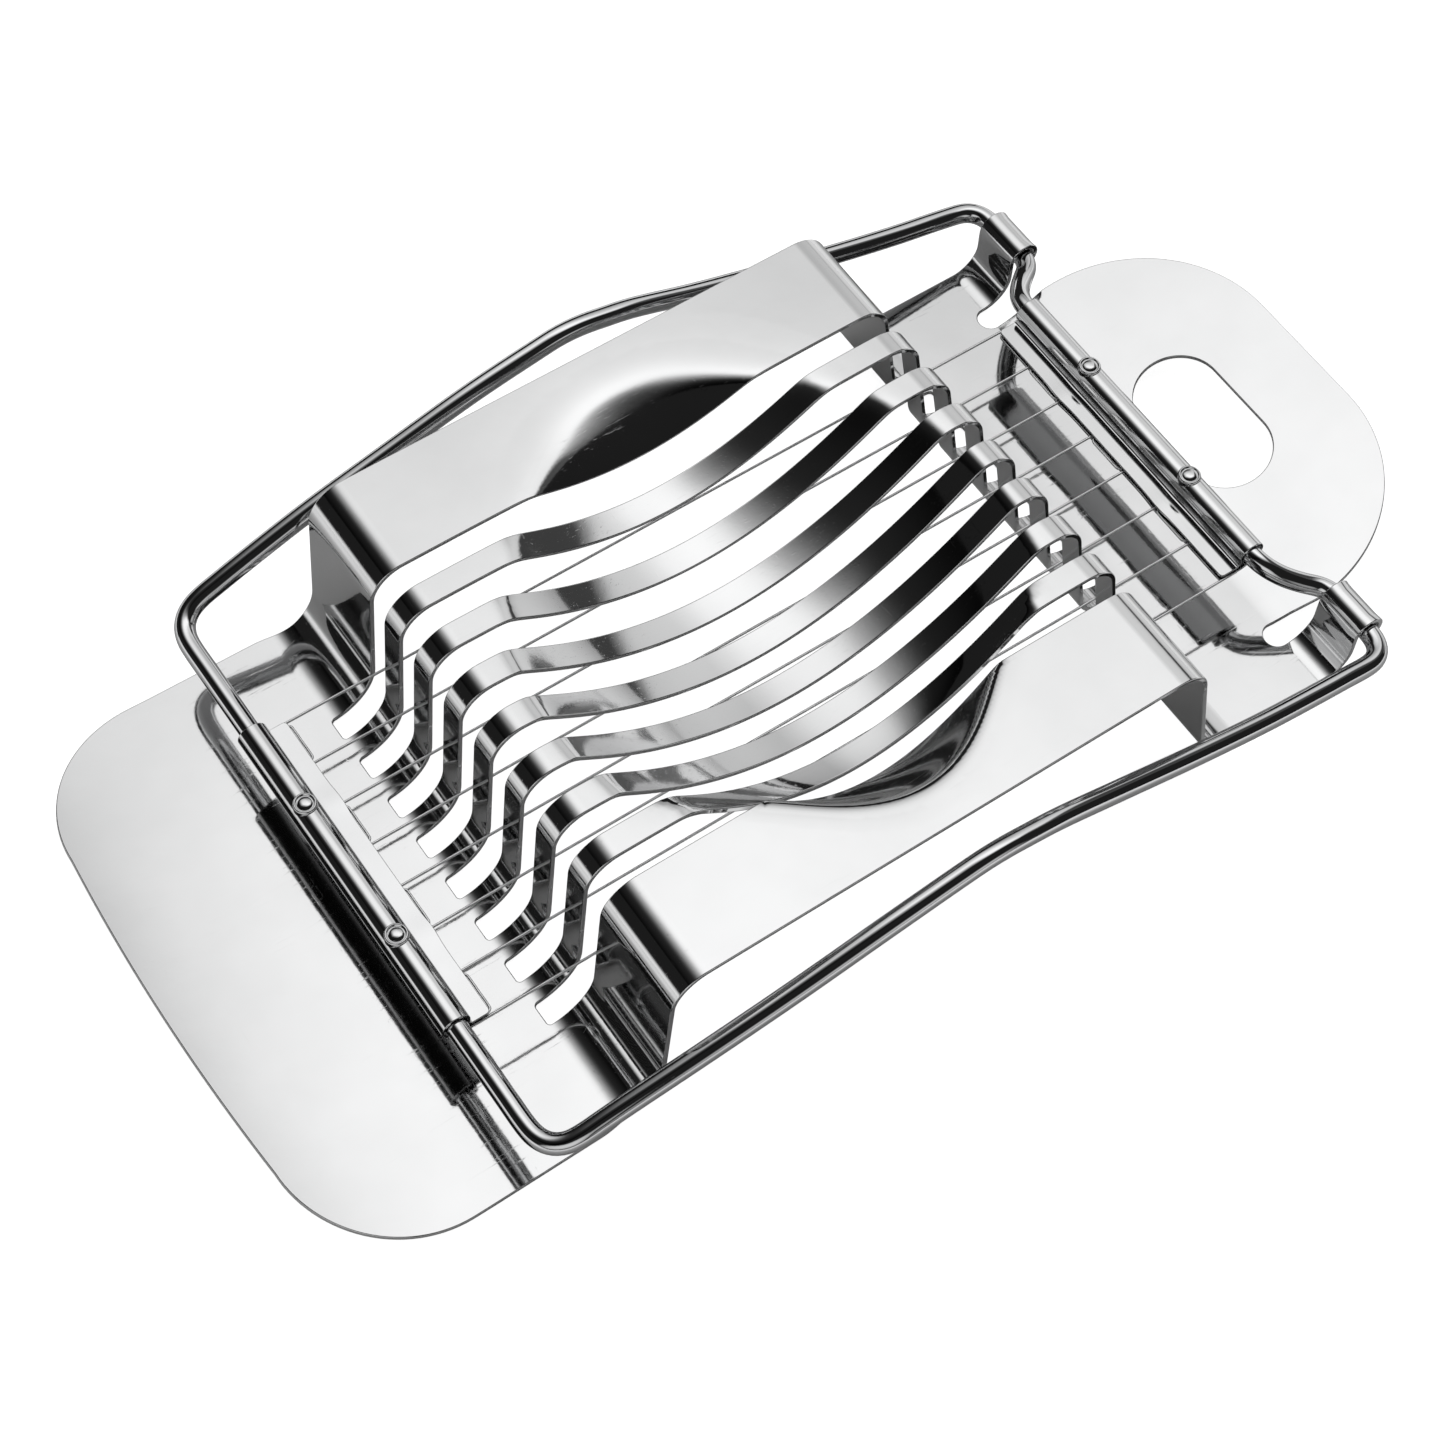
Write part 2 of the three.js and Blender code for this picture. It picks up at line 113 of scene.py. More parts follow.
class Table:
    """A smooth curve through rows, softened so that reflections run without kinks."""

    def __init__(self, rows, soft=0.9):
        r = np.array(rows, float)
        x, y = r[:, 0], r[:, 1]
        m = np.empty(len(x))
        m[1:-1] = (y[2:] - y[:-2]) / (x[2:] - x[:-2])
        m[0] = (y[1] - y[0]) / (x[1] - x[0])
        m[-1] = (y[-1] - y[-2]) / (x[-1] - x[-2])
        step = 0.05
        g = np.arange(x[0] - 6, x[-1] + 6, step)
        gc = np.clip(g, x[0], x[-1])
        i = np.clip(np.searchsorted(x, gc, side="right") - 1, 0, len(x) - 2)
        h = x[i + 1] - x[i]
        t = (gc - x[i]) / h
        v = ((2 * t**3 - 3 * t**2 + 1) * y[i] + (t**3 - 2 * t**2 + t) * h * m[i]
             + (-2 * t**3 + 3 * t**2) * y[i + 1] + (t**3 - t**2) * h * m[i + 1])
        k = np.arange(-3 * soft, 3 * soft + step, step)
        w = np.exp(-0.5 * (k / soft) ** 2)
        w /= w.sum()
        pad = len(k) // 2
        v = np.convolve(np.pad(v, pad, mode="edge"), w, mode="valid")[: len(g)]
        self.g, self.v = g, v

    def __call__(self, q):
        return np.interp(q, self.g, self.v)


# ------------------------------------------------------------------ egg cradle
cradle_depth = Table([[-36, -9], [-33, -4.4], [-30.5, -0.4], [-28.5, 2.6], [-25.5, 6.6], [-22.5, 9.6], [-19.5, 11.3], [-16.5, 12.3],
  [-13.5, 12.9], [-7.5, 13.4], [-1.5, 13.3], [4.5, 12.2], [10.5, 10.2], [16.5, 7.4], [19.5, 5.5], [22.5, 3.5], [25.5, 1.9], [28.5, 0.5], [31, -1], [36, -5]])
cradle_curve = Table([[-36, 0.06], [-30, 0.058], [-26, 0.052], [-22.5, 0.042], [-19.5, 0.027], [-16.5, 0.0205], [-12, 0.0175],
  [0, 0.0158], [10, 0.0155], [16.5, 0.0165], [22.5, 0.0165], [30, 0.0165], [36, 0.0165]])
CRADLE_RIM = 0.75


def cradle(x, y):
    d = cradle_depth(y) - cradle_curve(y) * (x - 0.3) ** 2
    s = 0.5 * (d + np.sqrt(d * d + CRADLE_RIM * CRADLE_RIM))
    return np.where(d < -3, s * np.clip(1 - (-3 - d) / 3, 0, 1), s)


# ------------------------------------------------------------------ mid-sheet profiles as arcs and straights
class Profile:
    def __init__(self, x, z, angle, s=0.0):
        self.s, self.x, self.z, self.a, self.k = [s], [x], [z], [angle], []

    def go(self, length, radius=0.0, turn=0.0):
        """Straight for length, or an arc of that radius through turn (positive turns upward)."""
        if radius:
            length, k = abs(turn) * radius, (1 / radius if turn > 0 else -1 / radius)
        else:
            k = 0.0
        x, z, a = self.x[-1], self.z[-1], self.a[-1]
        b = a + k * length
        if k:
            x, z = x + (math.sin(b) - math.sin(a)) / k, z - (math.cos(b) - math.cos(a)) / k
        else:
            x, z = x + math.cos(a) * length, z + math.sin(a) * length
        self.k.append(k)
        self.s.append(self.s[-1] + length)
        self.x.append(x)
        self.z.append(z)
        self.a.append(b)
        return self.s[-1]

    def at(self, s):
        s = np.asarray(s, float)
        S, X, Z, A, K = (np.array(v) for v in (self.s, self.x, self.z, self.a, self.k))
        i = np.clip(np.searchsorted(S, s, side="right") - 1, 0, len(K) - 1)
        t, a, k = s - S[i], A[i], K[i]
        b = a + k * t
        bent = np.abs(k) > 1e-9
        kk = np.where(bent, k, 1.0)
        x = X[i] + np.where(bent, (np.sin(b) - np.sin(a)) / kk, np.cos(a) * t)
        z = Z[i] + np.where(bent, -(np.cos(b) - np.cos(a)) / kk, np.sin(a) * t)
        return x, z


ZF, ZT = SHEET / 2, BRIDGE_TOP - SHEET / 2
tab_turn = math.asin((TAB_BEND_X - (TAB_BOW - 0.6)) / TAB_BEND_R)
# start at the raised end of the thumb tab, so that the floor runs at s = x
base_profile = Profile(TAB_BEND_X - TAB_BEND_R * math.sin(tab_turn), ZF + TAB_BEND_R * (1 - math.cos(tab_turn)), -tab_turn,
                       TAB_BEND_X - tab_turn * TAB_BEND_R)
base_profile.go(0, TAB_BEND_R, tab_turn)
base_profile.go(LEFT_FOOT_X - TAB_BEND_X)
base_profile.go(0, FOOT_R, LEFT_LEAN)
zw = ZT - BROW_R * (1 - math.cos(LEFT_LEAN))
base_profile.go((zw - base_profile.z[-1]) / math.sin(LEFT_LEAN))
S_BROW_L0 = base_profile.s[-1]
base_profile.go(0, BROW_R, -LEFT_LEAN)
BROW_X = base_profile.x[-1]
S_TOP0 = base_profile.s[-1]
S_TOP1 = base_profile.go(RIGHT_BROW_X - BROW_X)
S_BROW_R1 = base_profile.go(0, BROW_R, -RIGHT_LEAN)
zb = ZF + FOOT_R * (1 - math.cos(RIGHT_LEAN))
base_profile.go((base_profile.z[-1] - zb) / math.sin(RIGHT_LEAN))
S_FOOT_R0 = base_profile.s[-1]
S_FOOT_R1 = base_profile.go(0, FOOT_R, RIGHT_LEAN)
FOOT_X = base_profile.x[-1]
S_ROOT = base_profile.go(LUG_ROOT_X - FOOT_X)
lug_profile = Profile(LUG_ROOT_X, ZF, 0.0, S_ROOT)
base_profile.go(0, HANG_BEND_R, HANG_LIFT)
base_profile.go(30)
lug_r = HINGE_X - CURL_R - LUG_ROOT_X
lug_profile.go(0, lug_r, 90 * DEG)
lug_profile.go(HINGE_Z - ZF - lug_r)
S_LUG_END = lug_profile.go(0, CURL_R, -CURL_TURN)
BRANCH_Y = LUG_Y0 - NOTCH_R


def fade(s):
    """1 on the bridge top, easing to 0 down the shoulders, so that the dish runs out smoothly."""
    l = np.clip((s - S_BROW_L0) / (S_TOP0 - S_BROW_L0), 0, 1)
    r = np.clip((S_BROW_R1 - s) / (S_BROW_R1 - S_TOP1), 0, 1)
    l, r = l * l * (3 - 2 * l), r * r * (3 - 2 * r)
    return l * r


STRIP_FLAT = 0.6


def dish(x, y):
    """The cradle's depth; a strip between two slots lies flatter across its width than the dish it crosses."""
    d = cradle(x, y)
    yc = np.clip(np.round(y / PITCH), -3, 3) * PITCH
    on_strip = np.abs(y) < 21
    return np.where(on_strip, d + STRIP_FLAT * (cradle(x, yc) - d), d)


def base_mid(s, y):
    x, z = base_profile.at(s)
    xl, zl = lug_profile.at(np.maximum(s, S_ROOT))
    lug = (np.abs(y) > BRANCH_Y) & (s > S_ROOT)
    x, z = np.where(lug, xl, x), np.where(lug, zl, z)
    z = z - fade(s) * dish(x, y)
    return np.stack([x, y, z], -1)


def frame_at(mid, s, y, e=0.02):
    p = mid(s, y)
    ts = unit(mid(s + e, y) - mid(s - e, y))
    ty = unit(mid(s, y + e) - mid(s, y - e))
    return p, unit(np.cross(ts, ty)), ts, ty


# ------------------------------------------------------------------ a bent sheet from its flat blank
def dense(poly, marks, step):
    """Closed polyline with added points: at every station crossed and at most step apart."""
    out = []
    n = len(poly)
    for i in range(n):
        a, b = np.array(poly[i]), np.array(poly[(i + 1) % n])
        ts = {0.0}
        ds = b[0] - a[0]
        if abs(ds) > 1e-9:
            for m in marks:
                t = (m - a[0]) / ds
                if 1e-3 < t < 1 - 1e-3:
                    ts.add(float(t))
        L = np.linalg.norm(b - a)
        ts = sorted(ts)
        full = []
        for u, v in zip(ts, ts[1:] + [1.0]):
            c = max(1, int(math.ceil((v - u) * L / step)))
            full += [u + (v - u) * j / c for j in range(c)]
        for t in full:
            q = a + (b - a) * t
            if not out or np.hypot(*(q - out[-1])) > 0.05:
                out.append(q)
    if np.hypot(*(out[0] - out[-1])) < 0.05:
        out.pop()
    return np.array(out)


def inward(loop):
    """Mitred normals to the left of travel, and the mitre's stretch."""
    e = np.roll(loop, -1, 0) - loop
    e /= np.linalg.norm(e, axis=1, keepdims=True)
    n = np.stack([-e[:, 1], e[:, 0]], 1)
    m = n + np.roll(n, 1, 0)
    m /= np.linalg.norm(m, axis=1, keepdims=True)
    c = np.clip((m * n).sum(1), 0.5, 1)
    return m, 1 / c


def area(loop):
    x, y = loop[:, 0], loop[:, 1]
    return 0.5 * float((x * np.roll(y, -1) - np.roll(x, -1) * y).sum())


def within(q, loop):
    """Which points lie inside the closed loop."""
    hit = np.zeros(len(q), bool)
    lo, hi = loop.min(0), loop.max(0)
    c = np.nonzero(((q > lo) & (q < hi)).all(1))[0]
    a, b = loop, np.roll(loop, -1, 0)
    for k in range(0, len(c), 4000):
        i = c[k:k + 4000]
        x, y = q[i, 0][:, None], q[i, 1][:, None]
        cross = (a[:, 1] > y) != (b[:, 1] > y)
        dy = np.where(np.abs(b[:, 1] - a[:, 1]) < 1e-12, 1e-12, b[:, 1] - a[:, 1])
        xi = a[:, 0] + (y - a[:, 1]) * (b[:, 0] - a[:, 0]) / dy
        hit[i] = (cross & (x < xi)).sum(1) % 2 == 1
    return hit


def on_material(q, loops):
    ok = within(q, loops[0])
    for lp in loops[1:]:
        ok &= ~within(q, lp)
    return ok


def bent_sheet(mid, thick, outer, holes, stations, lines, marks, edge=0.12, step=0.8, clear=0.3):
    """A sheet of that thickness on a mid-surface, with rounded cut edges: verts, faces, normals in mm."""
    h = thick / 2
    loops = []
    for k, poly in enumerate([outer] + holes):
        lp = dense(poly, marks, step)
        if (area(lp) > 0) != (k == 0):
            lp = lp[::-1].copy()
        loops.append(lp)
    rings, base = [], 0
    flat = []
    for lp in loops:
        m, c = inward(lp)
        rings.append((base, len(lp)))
        flat.append(lp + m * (edge * c)[:, None])
        base += len(lp)
    ring_pts = np.concatenate(flat)
    kd = KDTree(len(ring_pts))
    for i, q in enumerate(ring_pts):
        kd.insert((q[0], q[1], 0), i)
    kd.balance()
    grid = np.array([(s, y) for s in stations for y in lines], float)
    grid = grid[on_material(grid, loops)]
    grid = np.array([q for q in grid if kd.find((q[0], q[1], 0))[2] > clear])
    pts = np.concatenate([ring_pts, grid])
    edges = [(b + i, b + (i + 1) % n) for b, n in rings for i in range(n)]
    vv, _, ff, ids, _, _ = delaunay_2d_cdt([Vector((float(a), float(b))) for a, b in pts], edges, [], 1, 1e-5, True)
    first = [i[0] if len(i) else -1 for i in ids]
    tris = [[first[v] for v in f] for f in ff]
    tris = [t for t in tris if min(t) >= 0 and len(set(t)) == 3]
    q = pts[np.array(tris)]
    sgn = (q[:, 1, 0] - q[:, 0, 0]) * (q[:, 2, 1] - q[:, 0, 1]) - (q[:, 2, 0] - q[:, 0, 0]) * (q[:, 1, 1] - q[:, 0, 1])
    keep = on_material(q.mean(1), flat)
    tris = [t if g > 0 else t[::-1] for t, g, k in zip(tris, sgn, keep) if k and abs(g) > 1e-7]
    used = {v for t in tris for v in t}
    P, N, Ts, Ty = frame_at(mid, pts[:, 0], pts[:, 1])
    n = len(pts)
    verts = [P + N * h, P - N * h]
    norms = [N, -N]
    faces = list(tris) + [[t[0] + n, t[2] + n, t[1] + n] for t in tris]
    count = 2 * n
    for (b, m), lp in zip(rings, loops):
        mm, c = inward(lp)
        rows = [list(range(b, b + m))]
        for phi, up in ((30, 1), (60, 1), (90, 1), (90, -1), (60, -1), (30, -1)):
            d = edge * (1 - math.sin(phi * DEG))
            z = (h - edge + edge * math.cos(phi * DEG)) * up
            sy = lp + mm * (d * c)[:, None]
            p, nn, ts, ty = frame_at(mid, sy[:, 0], sy[:, 1])
            o = -unit(ts * mm[:, :1] + ty * mm[:, 1:])
            verts.append(p + nn * z)
            norms.append(nn * math.cos(phi * DEG) * up + o * math.sin(phi * DEG))
            rows.append(list(range(count, count + m)))
            count += m
        rows.append(list(range(b + n, b + m + n)))
        for r0, r1 in zip(rows, rows[1:]):
            for i in range(m):
                j = (i + 1) % m
                faces.append([r0[i], r1[i], r1[j], r0[j]])
    verts, norms = np.concatenate(verts), np.concatenate(norms)
    live = sorted({v for f in faces for v in f})
    renum = {v: i for i, v in enumerate(live)}
    faces = [[renum[v] for v in f] for f in faces]
    return verts[live], faces, norms[live]


def arc(cx, cy, r, a0, a1, n):
    return [(cx + r * math.cos(a0 + (a1 - a0) * i / n), cy + r * math.sin(a0 + (a1 - a0) * i / n)) for i in range(n + 1)]


def spread(a, b, step):
    n = max(1, int(round((b - a) / step)))
    return [a + (b - a) * i / n for i in range(n)]


# ------------------------------------------------------------------ procedural materials
def nodes_of(mat):
    mat.use_nodes = True
    nt = mat.node_tree
    nt.nodes.clear()
    out = nt.nodes.new("ShaderNodeOutputMaterial")
    bsdf = nt.nodes.new("ShaderNodeBsdfPrincipled")
    nt.links.new(bsdf.outputs[0], out.inputs[0])
    return nt, bsdf


def noise(nt, co, scale, detail=2.0, rough=0.5, stretch=(1, 1, 1), turn=0.0):
    mp = nt.nodes.new("ShaderNodeMapping")
    mp.inputs["Scale"].default_value = stretch
    mp.inputs["Rotation"].default_value = (0, 0, turn)
    nt.links.new(co, mp.inputs["Vector"])
    t = nt.nodes.new("ShaderNodeTexNoise")
    t.inputs["Scale"].default_value = scale
    t.inputs["Detail"].default_value = detail
    t.inputs["Roughness"].default_value = rough
    nt.links.new(mp.outputs[0], t.inputs["Vector"])
    return t.outputs["Fac"]


def remap(nt, v, a, b, c, d):
    m = nt.nodes.new("ShaderNodeMapRange")
    for k, val in zip(("From Min", "From Max", "To Min", "To Max"), (a, b, c, d)):
        m.inputs[k].default_value = val
    nt.links.new(v, m.inputs["Value"])
    return m.outputs[0]


def math_node(nt, op, a, b):
    m = nt.nodes.new("ShaderNodeMath")
    m.operation = op
    for i, v in enumerate((a, b)):
        if isinstance(v, (int, float)):
            m.inputs[i].default_value = v
        else:
            nt.links.new(v, m.inputs[i])
    return m.outputs[0]


def steel(name, color, rough, grain, scratch=0.6, bump=0.06, along="X", speck=0.35, under=0.0):
    """Polished stainless steel: cloudy tone, buffing haze, hairline scratches and fine pits; with under set, painted
    shade darkens faces turned downward.
    """
    mat = bpy.data.materials.new(name)
    nt, b = nodes_of(mat)
    co = nt.nodes.new("ShaderNodeTexCoord").outputs["Object"]
    lengthwise = (1, 26, 26) if along == "X" else (26, 1, 26)
    cloud = noise(nt, co, 60, 3, 0.55)
    haze = noise(nt, co, 420, 4, 0.6)
    hair = noise(nt, co, 150, 3, 0.62, lengthwise, 0.06)
    cross = noise(nt, co, 110, 3, 0.6, (26, 1.4, 26) if along == "X" else (1.4, 26, 26), -0.45)
    fine = noise(nt, co, grain, 2, 0.5)
    lines = remap(nt, hair, 0.64, 0.74, 0, 1)
    lines2 = remap(nt, cross, 0.69, 0.78, 0, 1)
    marks = math_node(nt, "MAXIMUM", lines, lines2)
    pits = remap(nt, fine, 0.74, 0.82, 0, 1)
    mix = nt.nodes.new("ShaderNodeMix")
    mix.data_type = "RGBA"
    mix.inputs[6].default_value = (*[c * 0.93 for c in color], 1)
    mix.inputs[7].default_value = (*color, 1)
    nt.links.new(remap(nt, cloud, 0.3, 0.7, 0, 1), mix.inputs[0])
    tone = mix.outputs[2]
    if under:                        # painted shade: the base colour darkens on faces turned downward, standing in for the dark reflection under the folded strip
        sz = nt.nodes.new("ShaderNodeSeparateXYZ")
        nt.links.new(nt.nodes.new("ShaderNodeTexCoord").outputs["Normal"], sz.inputs[0])
        underside_shade_mix = nt.nodes.new("ShaderNodeMix")
        underside_shade_mix.data_type = "RGBA"
        underside_shade_mix.inputs[7].default_value = (*[c * under for c in color], 1)
        nt.links.new(tone, underside_shade_mix.inputs[6])
        nt.links.new(remap(nt, sz.outputs[2], -0.15, -0.5, 0.0, 1.0), underside_shade_mix.inputs[0])
        tone = underside_shade_mix.outputs[2]
    nt.links.new(tone, b.inputs["Base Color"])
    b.inputs["Metallic"].default_value = 1.0
    r = remap(nt, haze, 0.25, 0.75, rough * 0.75, rough * 1.35)
    r = math_node(nt, "ADD", r, math_node(nt, "MULTIPLY", marks, 0.09 * scratch))
    r = math_node(nt, "ADD", r, math_node(nt, "MULTIPLY", pits, 0.12 * speck))
    nt.links.new(r, b.inputs["Roughness"])
    h = math_node(nt, "MULTIPLY", marks, -0.5 * scratch)
    h = math_node(nt, "ADD", h, math_node(nt, "MULTIPLY", pits, -0.7 * speck))
    h = math_node(nt, "ADD", h, math_node(nt, "MULTIPLY", haze, 0.5))
    h = math_node(nt, "ADD", h, math_node(nt, "MULTIPLY", cloud, 1.2))
    bp = nt.nodes.new("ShaderNodeBump")
    bp.inputs["Strength"].default_value = bump
    bp.inputs["Distance"].default_value = 0.0001
    nt.links.new(h, bp.inputs["Height"])
    nt.links.new(bp.outputs[0], b.inputs["Normal"])
    return mat


MAT_SHEET = steel("polished_sheet", (0.66, 0.662, 0.664), 0.06, 2600, 0.7, 0.09)
MAT_ROD = steel("polished_rod", (0.66, 0.663, 0.668), 0.06, 3000, 0.5, 0.05)
# the clamp's last argument (0.4) paints shade on its downward faces
MAT_CLAMP = steel("clamp_sheet", (0.66, 0.663, 0.666), 0.08, 3000, 0.7, 0.06, "Y", 0.35, 0.4)
MAT_RIVET = steel("rivet_steel", (0.66, 0.663, 0.666), 0.1, 4200, 0.4, 0.08)
MAT_WIRE = steel("wire_steel", (0.86, 0.863, 0.867), 0.36, 5200, 0.9, 0.12)

# ------------------------------------------------------------------ base plate
def s_of_hang(x):
    """Arc length on the hang tab at plan position x."""
    i = len(base_profile.k) - 1
    return base_profile.s[i] + (x - base_profile.x[i]) / math.cos(HANG_LIFT)


def s_of_tab(x):
    return TAB_BEND_X - TAB_BEND_R * math.asin((TAB_BEND_X - x) / TAB_BEND_R) if x < TAB_BEND_X else x


def base_blank():
    s0 = base_profile.s
    half = []                                    # the +Y side, from the thumb tab to the hang tab
    for i in range(25):                          # bowed end
        y = (TAB_HALF - TAB_R) * i / 24
        x = TAB_BOW + (TAB_END - TAB_BOW) * (y / (TAB_HALF - TAB_R)) ** 2
        half.append((s_of_tab(x), y))
    for x, y in arc(TAB_END + TAB_R, TAB_HALF - TAB_R, TAB_R, math.pi, math.pi / 2, 28)[1:]:
        half.append((s_of_tab(x), y))
    half.append((-44, TAB_HALF - 0.2))
    S35 = s0[2] + 4.0
    for i in range(1, 13):                       # eases in to the bridge's width up the foot
        t = i / 12
        half.append((-44 + (S35 + 44) * t, TAB_HALF - 0.2 + (BRIDGE_HALF - TAB_HALF + 0.2) * (3 * t * t - 2 * t**3)))
    half.append((S_FOOT_R0, BRIDGE_HALF))
    half.append((S_FOOT_R1, FLOOR_HALF))
    half.append((S_ROOT, FLOOR_HALF))
    half.append((S_LUG_END, LUG_Y1))
    half.append((S_LUG_END, LUG_Y0))
    half.append((S_ROOT, LUG_Y0))
    for a, b in arc(S_ROOT, LUG_Y0 - NOTCH_R, NOTCH_R, math.pi / 2, math.pi * 1.5, 18)[1:]:
        half.append((a, b))
    r = HANG_R
    x1 = HANG_END - r
    half.append((s_of_hang(LUG_ROOT_X + HANG_BEND_R * math.sin(HANG_LIFT)), LUG_Y0 - 2 * NOTCH_R + 0.25))
    half.append((s_of_hang(x1), HANG_HALF))
    for x, y in arc(x1, HANG_HALF - r, r, math.pi / 2, 0, 34)[1:]:
        half.append((s_of_hang(x), y))
    near = [(s, -y) for s, y in reversed(half) if y > 1e-6]
    return half + near


slots = []
for k in range(WIRES):
    y = PITCH * ((WIRES - 1) / 2 - k)
    a, b, r = SLOT_X0, S_FOOT_R1 - (FOOT_X - SLOT_X1), 0.45
    w = SLOT_W / 2
    p = (arc(b - r, y + w - r, r, 0, math.pi / 2, 5) + arc(a + r, y + w - r, r, math.pi / 2, math.pi, 5)
         + arc(a + r, y - w + r, r, math.pi, math.pi * 1.5, 5) + arc(b - r, y - w + r, r, math.pi * 1.5, math.pi * 2, 5))
    slots.append(p)
sh = s_of_hang(HOLE_X)
ch = 1 / math.cos(HANG_LIFT)
hang_hole = ([(sh + (x - HOLE_X) * ch, y) for x, y in arc(HOLE_X, HOLE_HALF - HOLE_R, HOLE_R, 0, math.pi, 36)]
             + [(sh + (x - HOLE_X) * ch, y) for x, y in arc(HOLE_X, -(HOLE_HALF - HOLE_R), HOLE_R, math.pi, math.pi * 2, 36)])

S = base_profile.s
stations = []
for i, (a, b) in enumerate(zip(S[:-1], S[1:])):
    k = base_profile.k[i]
    top = abs(a - S_TOP0) < 1e-6
    stations += spread(a, b, 0.5 if top else (min(3.0 * DEG / abs(k), 2.0) if k else 1.6))
stations.append(S[-1])
lug_st = []
for i, (a, b) in enumerate(zip(lug_profile.s[:-1], lug_profile.s[1:])):
    k = lug_profile.k[i]
    lug_st += spread(a, b, 4.5 * DEG / abs(k) if k else 0.6)
marks = sorted(set(round(v, 5) for v in stations + lug_st))
lines = []
for k in range(WIRES - 1):
    yc = PITCH * (3 - k)
    lines += [yc + 0.5, yc - 0.5]
side = spread(23.3, 32.0, 0.4) + spread(32.0, 34.8, 0.7) + [34.85]
lines += side + [-v for v in side]
grid_stations = sorted(set(stations))
v, f, n = bent_sheet(base_mid, SHEET, base_blank(), slots + [hang_hole], grid_stations, lines, marks, edge=0.13, clear=0.36)
base_plate = make_piece("base_plate_steel", v, f, n, "base", ["base_plate"], MAT_SHEET)


# ------------------------------------------------------------------ rods, wires
def smooth_path(points, step=0.4, tension=0.5):
    """Centripetal spline through the points."""
    P = np.array(points, float)
    P = np.vstack([2 * P[0] - P[1], P, 2 * P[-1] - P[-2]])
    out = []
    for i in range(1, len(P) - 2):
        p0, p1, p2, p3 = P[i - 1], P[i], P[i + 1], P[i + 2]
        t0 = 0.0
        t1 = t0 + np.linalg.norm(p1 - p0) ** tension
        t2 = t1 + np.linalg.norm(p2 - p1) ** tension
        t3 = t2 + np.linalg.norm(p3 - p2) ** tension
        m = max(2, int(np.linalg.norm(p2 - p1) / step))
        for t in np.linspace(t1, t2, m, endpoint=False):
            a1 = (t1 - t) / (t1 - t0) * p0 + (t - t0) / (t1 - t0) * p1
            a2 = (t2 - t) / (t2 - t1) * p1 + (t - t1) / (t2 - t1) * p2
            a3 = (t3 - t) / (t3 - t2) * p2 + (t - t2) / (t3 - t2) * p3
            b1 = (t2 - t) / (t2 - t0) * a1 + (t - t0) / (t2 - t0) * a2
            b2 = (t3 - t) / (t3 - t1) * a2 + (t - t1) / (t3 - t1) * a3
            out.append((t2 - t) / (t2 - t1) * b1 + (t - t1) / (t2 - t1) * b2)
    out.append(P[-2])
    return np.array(out)


def even(path, step, soft=0.0):
    """Resampled at even steps, and softened along its length."""
    d = np.concatenate([[0], np.cumsum(np.linalg.norm(np.diff(path, axis=0), axis=1))])
    n = max(3, int(round(d[-1] / step)))
    q = np.linspace(0, d[-1], n + 1)
    out = np.stack([np.interp(q, d, path[:, i]) for i in range(3)], 1)
    if soft:
        k = np.arange(-3 * soft, 3 * soft + step, step)
        w = np.exp(-0.5 * (k / soft) ** 2)
        w /= w.sum()
        pad = len(w) // 2
        a = 2 * out[0] - out[1:pad + 1][::-1]
        b = 2 * out[-1] - out[-pad - 1:-1][::-1]
        e = np.vstack([a, out, b])
        out = np.stack([np.convolve(e[:, i], w, mode="valid")[: len(out)] for i in range(3)], 1)
    return out


def tube(path, r, sides=28, round_end=0.15):
    P = np.array(path, float)
    T = unit(np.gradient(P, axis=0))
    ref = np.array([0, 0, 1.0]) if abs(T[0][2]) < 0.9 else np.array([1.0, 0, 0])
    u = unit(np.cross(T[0], ref))
    verts, norms, faces = [], [], []
    ang = np.linspace(0, 2 * math.pi, sides, endpoint=False)

    def ring(p, t, uu, rr, lean):
        vv = np.cross(t, uu)
        d = np.cos(ang)[:, None] * uu + np.sin(ang)[:, None] * vv
        verts.append(p + d * rr)
        norms.append(unit(d * math.cos(lean) + t * math.sin(lean)))

    rings = 0
    e = min(round_end, r * 0.9)
    U = []
    for i in range(len(P)):
        if i:
            u = unit(u - T[i] * float(u @ T[i]))
        U.append(u)
    for a in (90, 60, 30):
        ring(P[0] - T[0] * (e * math.sin(a * DEG)) + T[0] * e, T[0], U[0], r - e + e * math.cos(a * DEG), -a * DEG)
        rings += 1
    for i in range(1, len(P) - 1):
        ring(P[i], T[i], U[i], r, 0)
        rings += 1
    for a in (30, 60, 90):
        ring(P[-1] + T[-1] * (e * math.sin(a * DEG)) - T[-1] * e, T[-1], U[-1], r - e + e * math.cos(a * DEG), a * DEG)
        rings += 1
    verts, norms = np.concatenate(verts), np.concatenate(norms)
    for k in range(rings - 1):
        for j in range(sides):
            j1 = (j + 1) % sides
            faces.append([k * sides + j, k * sides + j1, (k + 1) * sides + j1, (k + 1) * sides + j])
    faces.append(list(range(sides))[::-1])
    faces.append([(rings - 1) * sides + j for j in range(sides)])
    return verts, faces, norms


RAIL = [[-47.6, 38.5, 10.7], [-43.3, 38.75, 12.0], [-33.3, 39.3, 14.6], [-23, 39.65, 16.9], [-11, 39.9, 19.7], [-2.7, 39.95, 21.2], [0.4, 39.97, 21.65],
  [3.3, 39.95, 21.55], [6.5, 39.88, 20.95], [9.85, 39.8, 20.2], [18.9, 39.55, 17.1], [30, 39.4, 13.6], [40.1, 39.2, 10.7], [48, 38.95, 8.8], [53, 38.8, 7.8], [56.2, 38.7, 7.1]]


